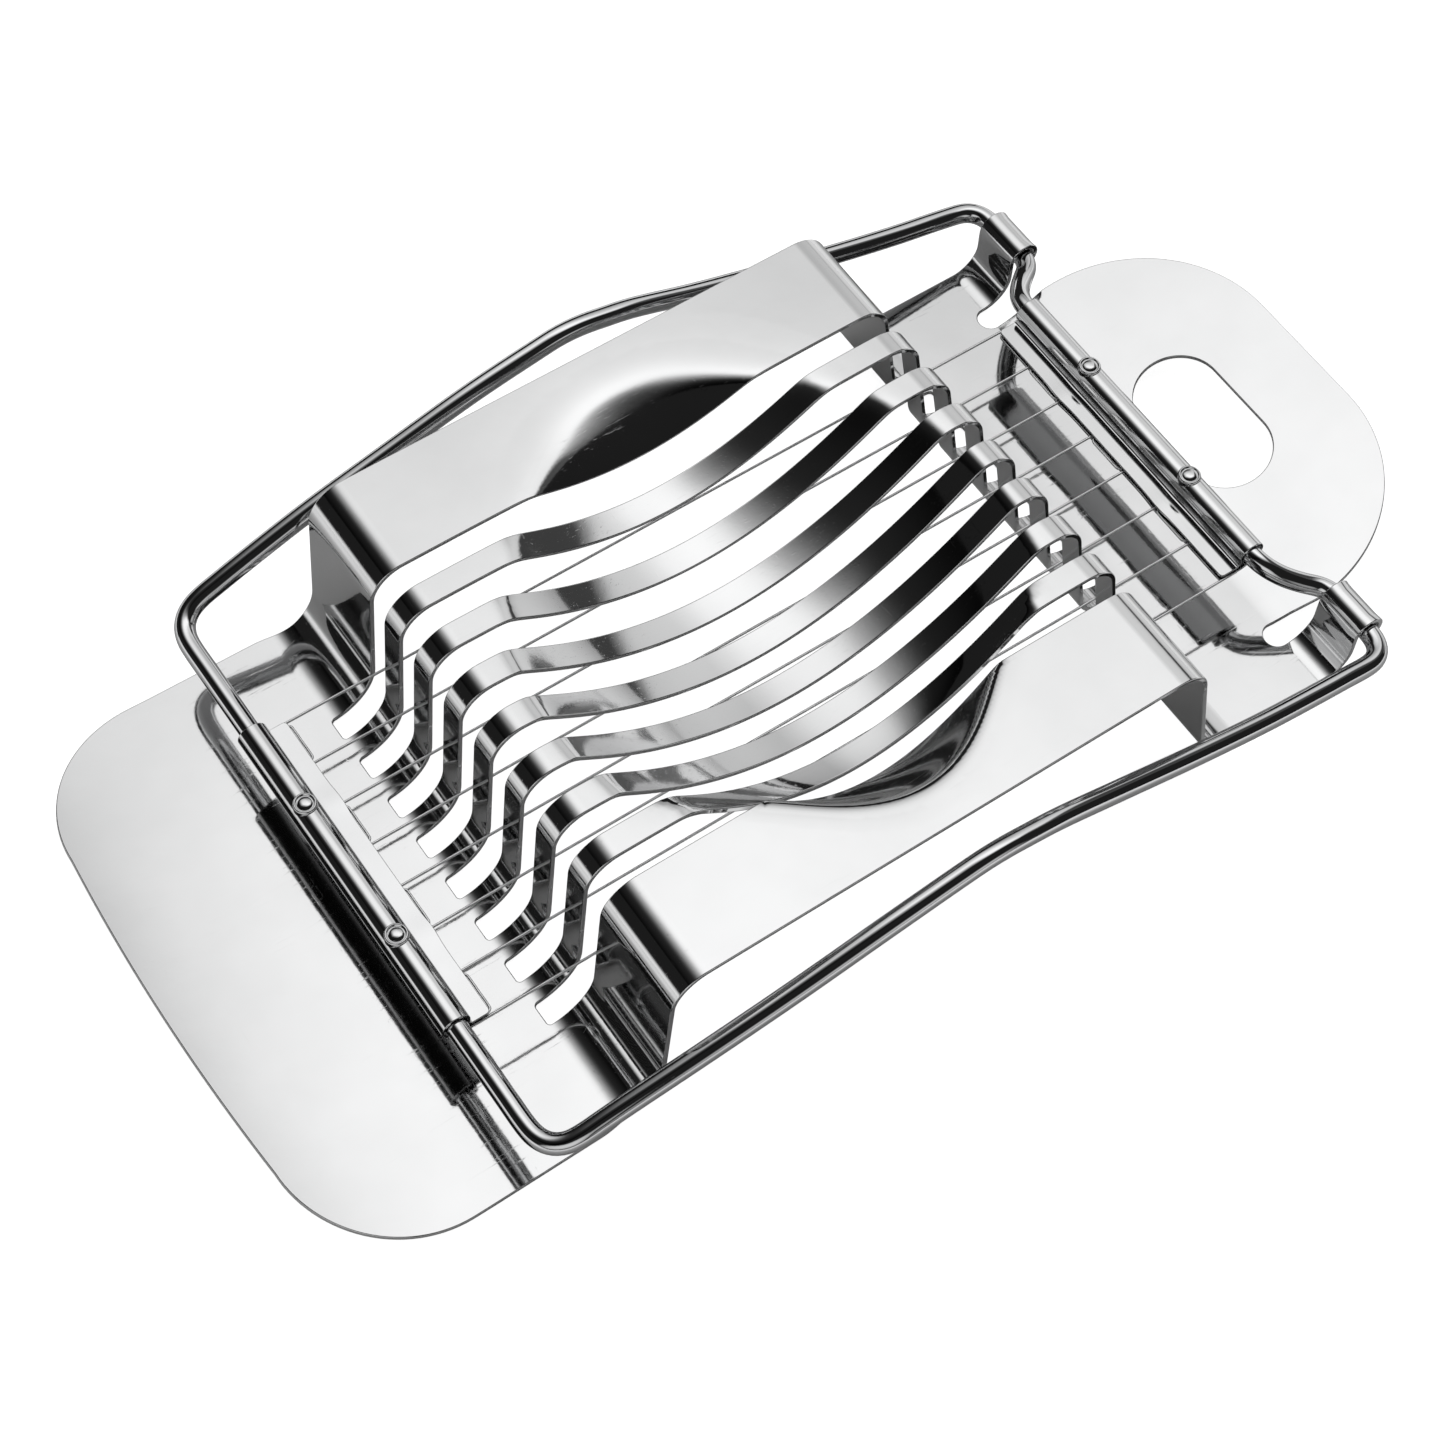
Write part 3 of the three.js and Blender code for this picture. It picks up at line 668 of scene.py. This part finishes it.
def half_rod():
    straight = [[CRANK_X, y, CRANK_Z] for y in np.linspace(0.16, 17, 24)]
    crank = smooth_path([[CRANK_X, 17, CRANK_Z], [CRANK_X, 20.9, CRANK_Z], [54.4, 22.7, 8.95], [55.7, 24.5, 8.1], [57.7, 26.3, 7.2],
                         [59.3, 27.6, 6.7], [HINGE_X, 28.9, HINGE_Z], [HINGE_X, 31, HINGE_Z]], 0.3)[1:-1]
    pin = [[HINGE_X, y, HINGE_Z] for y in np.linspace(31, 34.6, 8)]
    out = smooth_path([[HINGE_X, 34.6, HINGE_Z], [HINGE_X, 35.2, HINGE_Z], [59.7, 36.6, 6.62], [59.0, 37.8, 6.7], [57.8, 38.5, 6.85], [56.2, 38.7, 7.1]]
                      + [p for p in reversed(RAIL[:-1])], 0.5)[1:-1]
    corner = smooth_path([RAIL[1], RAIL[0], [-49.3, 38.15, 10.1], [-50.7, 37.1, 9.65], [-51.45, 35.4, 9.47], [BAR_X, 33.6, BAR_Z], [BAR_X, 31, BAR_Z]], 0.3)
    corner = corner[int(len(corner) * 0.24):-1]
    keep = out[out[:, 0] > corner[0][0] + 0.6]
    bar = [[BAR_X, y, BAR_Z] for y in np.linspace(31, 0.0, 30)]
    return np.vstack([straight, crank, pin, keep, corner, bar])


half = half_rod()
mirror = (half * [1, -1, 1])[::-1][1:]
rod = even(even(np.vstack([half, mirror]), 0.25, 0.55), 0.45)
v, f, n = tube(rod, ROD_R, 36, 0.2)
bow = make_piece("wire_bow_rod", v, f, n, "frame", ["wire_bow"], MAT_ROD)


# ------------------------------------------------------------------ folded clamps
def clamp_path():
    """Section of the folded strip in (out, up), measured from the rod's axis, from the upper lip round the rod to the lower lip."""
    top, bottom = -WIRE_DROP + 0.435, -WIRE_DROP - 0.375
    pts = [(FLANGE_OUT, top), (1.75, top)]
    pts += [(CLAMP_R * math.cos(a * DEG), CLAMP_R * math.sin(a * DEG)) for a in range(-34, 246, 6)]
    pts += [(-0.25, -1.66), (0.35, -1.95), (1.0, bottom), (FLANGE_OUT, bottom)]
    p = np.array([(x, 0.0, z) for x, z in pts])
    return even(even(p, 0.06, 0.16), 0.12)


def clamp_piece(name, node, x0, z0, direction):
    path = clamp_path()
    d = np.concatenate([[0], np.cumsum(np.linalg.norm(np.diff(path, axis=0), axis=1))])
    L = d[-1]

    def mid(s, y):
        sc = np.clip(s, 0, L)
        u, w = np.interp(sc, d, path[:, 0]), np.interp(sc, d, path[:, 2])
        u = u - (s - sc) * np.where(s < 0, 1, -1)
        # the lips belly out a little beside each rivet
        lip = np.clip((np.abs(sc - L / 2) - (L / 2 - 3.4)) / 2.2, 0, 1)
        near = np.exp(-((y - RIVET_Y) / 1.7) ** 2) + np.exp(-((y + RIVET_Y) / 1.7) ** 2)
        w = w + 0.05 * lip * near * np.where(s < L / 2, 1, -1)
        u = u + 0.16 * lip * near
        if direction > 0:
            return np.stack([x0 + u, y, z0 + w], -1)
        return np.stack([x0 - u, y, z0 + w], -1)

    H = CLAMP_HALF
    r = 0.5
    outer = (arc(r, -H + r, r, math.pi, 1.5 * math.pi, 5) + arc(L - r, -H + r, r, 1.5 * math.pi, 2 * math.pi, 5)
             + arc(L - r, H - r, r, 0, math.pi / 2, 5) + arc(r, H - r, r, math.pi / 2, math.pi, 5))
    st = [L * i / 110 for i in range(111)]
    ln = spread(-H + 0.6, H - 0.5, 0.9) + [H - 0.6]
    v, f, n = bent_sheet(mid, CLAMP_T, outer, [], st, ln, st, edge=0.09, step=0.9, clear=0.1)
    # the path runs so that its normals point inward on one of the two clamps: keep them outward
    fv = v[np.array([t for t in f if len(t) == 3][:4000])]
    g = np.cross(fv[:, 1] - fv[:, 0], fv[:, 2] - fv[:, 0])
    t3 = [t for t in f if len(t) == 3][:4000]
    agree = (g * n[np.array([t[0] for t in t3])]).sum(1).mean()
    if agree < 0:
        f = [t[::-1] for t in f]
    return make_piece(name, v, f, n, "frame", [node], MAT_CLAMP)


handle_clamp = clamp_piece("handle_clamp_fold", "handle_clamp", BAR_X, BAR_Z, 1)
hinge_clamp = clamp_piece("hinge_clamp_fold", "hinge_clamp", CRANK_X, CRANK_Z, -1)


# ------------------------------------------------------------------ rivets
def rivet_piece(name, node, x, y, z):
    t = CLAMP_R + CLAMP_T / 2
    key = [(0.0, t + 0.36), (0.3, t + 0.345), (0.55, t + 0.29), (0.75, t + 0.2), (0.86, t + 0.12), (0.92, t + 0.1), (0.99, t + 0.15), (1.08, t + 0.25),
           (1.17, t + 0.27), (1.27, t + 0.2), (1.34, t + 0.05), (1.35, t - 0.15), (1.35, t - 0.75)]
    p = even(smooth_path([(a, 0.0, b) for a, b in key], 0.05), 0.05)
    p[0, 0] = 0.0
    tn = unit(np.gradient(p, axis=0))
    sides = 48
    ang = np.linspace(0, 2 * math.pi, sides, endpoint=False)
    verts, norms, faces = [[x, y, z + p[0, 2]]], [[0, 0, 1]], []
    for i in range(1, len(p)):
        nr, nz = -tn[i, 2], tn[i, 0]
        for a in ang:
            verts.append([x + p[i, 0] * math.cos(a), y + p[i, 0] * math.sin(a), z + p[i, 2]])
            norms.append([nr * math.cos(a), nr * math.sin(a), nz])
    m = len(p) - 1
    for j in range(sides):
        faces.append([0, 1 + j, 1 + (j + 1) % sides])
    for i in range(m - 1):
        for j in range(sides):
            a, b = 1 + i * sides + j, 1 + i * sides + (j + 1) % sides
            faces.append([a, a + sides, b + sides, b])
    last = 1 + (m - 1) * sides
    faces.append([last + j for j in range(sides)][::-1])
    return make_piece(name, np.array(verts), faces, np.array(norms), "frame", [node], MAT_RIVET)


rivet_piece("rivet_handle_far_head", "rivet_handle_far", BAR_X, RIVET_Y, BAR_Z)
rivet_piece("rivet_handle_near_head", "rivet_handle_near", BAR_X, -RIVET_Y, BAR_Z)
rivet_piece("rivet_hinge_far_head", "rivet_hinge_far", CRANK_X, RIVET_Y, CRANK_Z)
rivet_piece("rivet_hinge_near_head", "rivet_hinge_near", CRANK_X, -RIVET_Y, CRANK_Z)

# ------------------------------------------------------------------ cutting wires and their end turns
for k in range(WIRES):
    y = PITCH * ((WIRES - 1) / 2 - k)
    path = even(np.array([[BAR_X + 1.9, y, BAR_Z - WIRE_DROP], [CRANK_X - 1.9, y, CRANK_Z - WIRE_DROP]]), 2.0)
    v, f, n = tube(path, WIRE_R, 16, 0.05)
    make_piece(f"cutting_wire_{k + 1}_strand", v, f, n, "frame", [f"cutting_wire_{k + 1}"], MAT_WIRE)


def turn_piece(name, node, k, x_edge, z, direction):
    """The laced wire runs along the lips' edge from one strand to the next, and tucks in at both ends."""
    y0 = PITCH * ((WIRES - 1) / 2 - k) - 0.42
    y1 = y0 - PITCH + 0.84
    x = x_edge + 0.3 * direction
    pts = [[x - 1.3 * direction, y0, z], [x - 0.5 * direction, y0, z], [x - 0.06 * direction, y0 - 0.28, z], [x, y0 - 0.8, z], [x, (y0 + y1) / 2, z],
           [x, y1 + 0.8, z], [x - 0.06 * direction, y1 + 0.28, z], [x - 0.5 * direction, y1, z], [x - 1.3 * direction, y1, z]]
    v, f, n = tube(even(smooth_path(pts, 0.1), 0.1), WIRE_R * 0.95, 14, 0.05)
    make_piece(name, v, f, n, "frame", [node], MAT_WIRE)


for k in range(0, WIRES - 1, 2):
    turn_piece(f"wire_turn_handle_{k + 1}_{k + 2}_bend", f"wire_turn_handle_{k + 1}_{k + 2}", k, BAR_X + FLANGE_OUT, BAR_Z - WIRE_DROP, 1)
for k in range(1, WIRES - 1, 2):
    turn_piece(f"wire_turn_hinge_{k + 1}_{k + 2}_bend", f"wire_turn_hinge_{k + 1}_{k + 2}", k, CRANK_X - FLANGE_OUT, CRANK_Z - WIRE_DROP, -1)


# ------------------------------------------------------------------ floor, light, camera
def plane(name, size, material, matrix):
    me = bpy.data.meshes.new(name)
    h = size / 2
    me.from_pydata([(-h, -h, 0), (h, -h, 0), (h, h, 0), (-h, h, 0)], [], [(0, 1, 2, 3)])
    ob = bpy.data.objects.new(name, me)
    bpy.context.scene.collection.objects.link(ob)
    me.materials.append(material)
    ob.matrix_world = matrix
    return ob


floor_mat = bpy.data.materials.new("studio_floor")
nt, b = nodes_of(floor_mat)
b.inputs["Base Color"].default_value = (0.9, 0.9, 0.9, 1)
b.inputs["Roughness"].default_value = 0.9
b.inputs["Emission Color"].default_value = (1, 1, 1, 1)
b.inputs["Emission Strength"].default_value = 0.92
floor_seen = plane("studio_floor", 7.0, floor_mat, Matrix.Translation((0, 0, -0.0002)))
for ray in ("diffuse", "glossy", "transmission", "shadow"):
    setattr(floor_seen, f"visible_{ray}", False)
# the floor as the steel reflects it: pale outside, shaded under the bridge
glow_mat = bpy.data.materials.new("floor_glow")
nt, b = nodes_of(glow_mat)
b.inputs["Base Color"].default_value = (0.75, 0.75, 0.75, 1)
b.inputs["Roughness"].default_value = 0.9
b.inputs["Emission Color"].default_value = (1, 1, 1, 1)
sp = nt.nodes.new("ShaderNodeVectorMath")
sp.operation = "LENGTH"
nt.links.new(nt.nodes.new("ShaderNodeTexCoord").outputs["Object"], sp.inputs[0])
nt.links.new(remap(nt, sp.outputs["Value"], 0.07, 0.15, 0.0, 0.7), b.inputs["Emission Strength"])
floor_glow = plane("studio_floor_glow", 7.0, glow_mat, Matrix.Translation((0, 0, -0.0004)))
floor_glow.visible_camera = False


def light_panel(name, size_x, size_y, matrix, tones_x, tones_y, strength=1.0, shear=0.0, shear_y=0.0, shear_x=0.0):
    """A glowing panel whose tone runs smoothly across its own X and Y."""
    mat = bpy.data.materials.new(name)
    mat.use_nodes = True
    t = mat.node_tree
    t.nodes.clear()
    out = t.nodes.new("ShaderNodeOutputMaterial")
    em = t.nodes.new("ShaderNodeEmission")
    co = t.nodes.new("ShaderNodeTexCoord")
    sep = t.nodes.new("ShaderNodeSeparateXYZ")
    t.links.new(co.outputs["Object"], sep.inputs[0])
    v = []
    for axis, size, tones in ((0, size_x, tones_x), (1, size_y, tones_y)):
        ramp = t.nodes.new("ShaderNodeValToRGB")
        ramp.color_ramp.interpolation = "B_SPLINE"
        el = ramp.color_ramp.elements
        while len(el) < len(tones):
            el.new(0.5)
        for e, (pos, tone) in zip(el, tones):
            e.position = pos
            e.color = (tone, tone, tone, 1)
        c = sep.outputs[axis]
        if axis == 1 and shear:      # low on the +X side the dark near part reaches further away
            out_x = math_node(t, "MAXIMUM", math_node(t, "SUBTRACT", sep.outputs[0], shear_x), 0.0)
            c = math_node(t, "SUBTRACT", c, math_node(t, "MULTIPLY", out_x, 0.75))
        if axis == 0 and shear:      # the dark side reaches further in on the near part of the panel
            near = math_node(t, "MINIMUM", math_node(t, "SUBTRACT", sep.outputs[1], shear_y), 0.0)
            c = math_node(t, "ADD", c, math_node(t, "MULTIPLY", near, shear))
        t.links.new(remap(t, c, -size / 2, size / 2, 0, 1), ramp.inputs[0])
        v.append(ramp.outputs[0])
    w = math_node(t, "MULTIPLY", v[0], v[1])
    t.links.new(math_node(t, "MULTIPLY", w, strength), em.inputs["Strength"])
    t.links.new(em.outputs[0], out.inputs[0])
    me = bpy.data.meshes.new(name)
    hx, hy = size_x / 2, size_y / 2
    me.from_pydata([(-hx, -hy, 0), (hx, -hy, 0), (hx, hy, 0), (-hx, hy, 0)], [], [(0, 1, 2, 3)])
    ob = bpy.data.objects.new(name, me)
    bpy.context.scene.collection.objects.link(ob)
    me.materials.append(mat)
    ob.matrix_world = matrix
    ob.visible_camera = False
    ob.visible_shadow = False
    return ob


# overhead: dark towards -X, white above, light grey towards +X and +Y, ending short of the camera's side
PANEL_H = 1.5


def along_panel(a, b, rows):
    return [((q - a) / (b - a), tone) for q, tone in rows]


U0, U1, V0, V1 = -1.1, 3.2, -0.25, 1.8
light_panel("overhead_panel", (U1 - U0) * PANEL_H, (V1 - V0) * PANEL_H,
            Matrix.Translation(((U0 + U1) / 2 * PANEL_H, (V0 + V1) / 2 * PANEL_H, PANEL_H)),
            along_panel(U0, U1, [(-1.1, 0.0), (-0.6, 0.015), (-0.4, 0.03), (-0.2, 0.42), (-0.05, 0.92), (0.15, 1.0), (0.45, 0.93), (0.62, 0.78),
                                 (0.85, 0.64), (1.3, 0.6), (2.0, 0.52), (3.2, 0.5)]),
            along_panel(V0, V1, [(-0.25, 0.0), (-0.12, 0.5), (-0.03, 1.0), (0.1, 1.0), (0.38, 1.0), (0.65, 0.76), (1.2, 0.5), (1.8, 0.2)]), 1.52,
            0.8, (0.38 - (V0 + V1) / 2) * PANEL_H, (0.85 - (U0 + U1) / 2) * PANEL_H)
UPRIGHT = Matrix.Rotation(-90 * DEG, 4, "Y")
light_panel("left_card", 0.5, 3.2, Matrix.Translation((-2.4, 0.6, 0.25)) @ UPRIGHT,
            [(0.0, 0.95), (0.5, 0.8), (0.75, 0.25), (1.0, 0.0)], [(0.0, 0.3), (0.2, 1.0), (0.8, 1.0), (1.0, 0.5)], 1.25)
light_panel("right_card", 0.9, 3.0, Matrix.Translation((2.6, 0.8, 0.45)) @ UPRIGHT,
            [(0.0, 0.7), (0.5, 0.8), (0.8, 0.6), (1.0, 0.4)], [(0.0, 0.0), (0.3, 0.7), (0.8, 1.0), (1.0, 0.8)], 1.42)
# a wide soft card on the thumb-tab side behind the camera, and one in front, light the other faces
light_panel("rear_card", 2.0, 3.0, Matrix.Rotation(225 * DEG, 4, "Z") @ Matrix.Translation((2.4, -0.3, 1.25)) @ UPRIGHT,
            [(0.0, 0.25), (0.2, 0.8), (0.7, 0.9), (1.0, 0.2)], [(0.0, 0.1), (0.2, 0.9), (0.8, 1.0), (1.0, 0.3)], 1.2)
light_panel("front_card", 1.0, 2.4, Matrix.Rotation(-80 * DEG, 4, "Z") @ Matrix.Translation((2.4, 0.0, 0.6)) @ UPRIGHT,
            [(0.0, 0.3), (0.3, 0.8), (0.7, 0.7), (1.0, 0.0)], [(0.0, 0.0), (0.3, 0.9), (0.7, 0.9), (1.0, 0.0)], 1.15)

# pale backdrop behind everything, seen by the camera only
back_mat = bpy.data.materials.new("studio_backdrop")
back_mat.use_nodes = True
bn = back_mat.node_tree
bn.nodes.clear()
bo, be = bn.nodes.new("ShaderNodeOutputMaterial"), bn.nodes.new("ShaderNodeEmission")
be.inputs["Color"].default_value = (1, 1, 1, 1)
be.inputs["Strength"].default_value = 0.96
bn.links.new(be.outputs[0], bo.inputs[0])
bm_v, bm_f, R_, NA, NB = [], [], 3.6, 48, 16
for j in range(NB + 1):
    e = math.pi / 2 * j / NB
    for i in range(NA):
        a_ = 2 * math.pi * i / NA
        bm_v.append((R_ * math.cos(e) * math.cos(a_), R_ * math.cos(e) * math.sin(a_), R_ * math.sin(e) - 0.01))
for j in range(NB):
    for i in range(NA):
        bm_f.append((j * NA + i, j * NA + (i + 1) % NA, (j + 1) * NA + (i + 1) % NA, (j + 1) * NA + i))
bme = bpy.data.meshes.new("studio_backdrop")
bme.from_pydata(bm_v, [], bm_f)
backdrop = bpy.data.objects.new("studio_backdrop", bme)
bpy.context.scene.collection.objects.link(backdrop)
bme.materials.append(back_mat)
for ray in ("diffuse", "glossy", "transmission", "shadow"):
    setattr(backdrop, f"visible_{ray}", False)

world_ = bpy.data.worlds.new("studio")
bpy.context.scene.world = world_
world_.use_nodes = True
bg = world_.node_tree.nodes["Background"]
bg.inputs[0].default_value = (1, 1, 1, 1)
bg.inputs[1].default_value = 0.017

cam_data = bpy.data.cameras.new("camera")
cam = bpy.data.objects.new("camera", cam_data)
bpy.context.scene.collection.objects.link(cam)
right = Vector((0.8248077, -0.5648524, 0.0251807))
up = Vector((0.4758475, 0.7175169, 0.5086635))
back = Vector((-0.3053874, -0.4075674, 0.8605971))
m = Matrix((right, up, back)).transposed().to_4x4()
m.translation = Vector((-0.11267, -0.14184, 0.29612))
cam.matrix_world = m
cam_data.sensor_width = 36.0
cam_data.lens = 76.289
cam_data.clip_start = 0.01
cam_data.clip_end = 20
bpy.context.scene.camera = cam
bpy.context.scene.view_settings.view_transform = "Standard"
bpy.context.scene.cycles.max_bounces = 12
bpy.context.scene.cycles.glossy_bounces = 8
